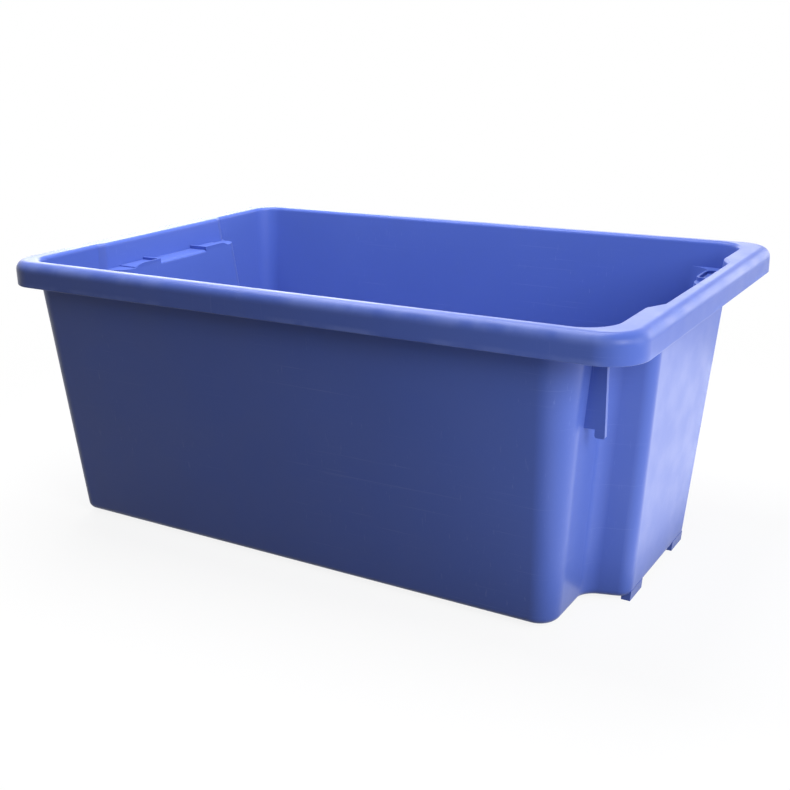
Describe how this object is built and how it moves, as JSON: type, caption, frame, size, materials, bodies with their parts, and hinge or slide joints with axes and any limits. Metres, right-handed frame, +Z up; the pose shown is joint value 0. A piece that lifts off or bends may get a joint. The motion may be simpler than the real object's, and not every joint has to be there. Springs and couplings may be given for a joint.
{
  "type": "stack-and-nest bin",
  "caption": "Open rectangular plastic bin with tapered walls, a turned-down rim and end shelves, which stacks when turned end for end and nests the same way round.",
  "frame": {"origin": "on the surface that the feet stand on, under the middle of the rim", "axes": "+X along the length towards the foot end, +Y towards the back, +Z up"},
  "size_m": [0.645, 0.413, 0.276],
  "materials": {
    "moulded_plastic": "satin"
  },
  "bodies": {
    "root": {"back_wall": "moulded_plastic", "corner_column_back": "moulded_plastic", "corner_column_front": "moulded_plastic", "corner_ledge_back": "moulded_plastic", "corner_ledge_front": "moulded_plastic", "corner_leg_back": "moulded_plastic", "corner_leg_front": "moulded_plastic", "corner_riser_back": "moulded_plastic", "corner_riser_front": "moulded_plastic", "deck_back": "moulded_plastic", "deck_foot_end": "moulded_plastic", "deck_front": "moulded_plastic", "deck_ledge_end": "moulded_plastic", "floor_pan": "moulded_plastic", "flute_back": "moulded_plastic", "flute_front": "moulded_plastic", "foot_panel": "moulded_plastic", "front_wall": "moulded_plastic", "ledge_riser": "moulded_plastic", "leg_foot_back": "moulded_plastic", "leg_foot_front": "moulded_plastic", "nest_rib_foot_back": "moulded_plastic", "nest_rib_foot_front": "moulded_plastic", "nest_rib_ledge_back": "moulded_plastic", "nest_rib_ledge_front": "moulded_plastic", "pad_lip_back": "moulded_plastic", "pad_lip_front": "moulded_plastic", "pad_stop_back": "moulded_plastic", "pad_stop_front": "moulded_plastic", "panel_foot_back": "moulded_plastic", "panel_foot_front": "moulded_plastic", "recess_flank_back": "moulded_plastic", "recess_flank_front": "moulded_plastic", "recess_panel": "moulded_plastic", "rim_corner_foot_back": "moulded_plastic", "rim_corner_foot_front": "moulded_plastic", "rim_corner_ledge_back": "moulded_plastic", "rim_corner_ledge_front": "moulded_plastic", "skirt_back": "moulded_plastic", "skirt_foot_end": "moulded_plastic", "skirt_front": "moulded_plastic", "skirt_ledge_end": "moulded_plastic", "stack_ledge": "moulded_plastic", "stack_pad_back": "moulded_plastic", "stack_pad_front": "moulded_plastic", "stack_pocket_back": "moulded_plastic", "stack_pocket_front": "moulded_plastic"}
  },
  "joints": []
}
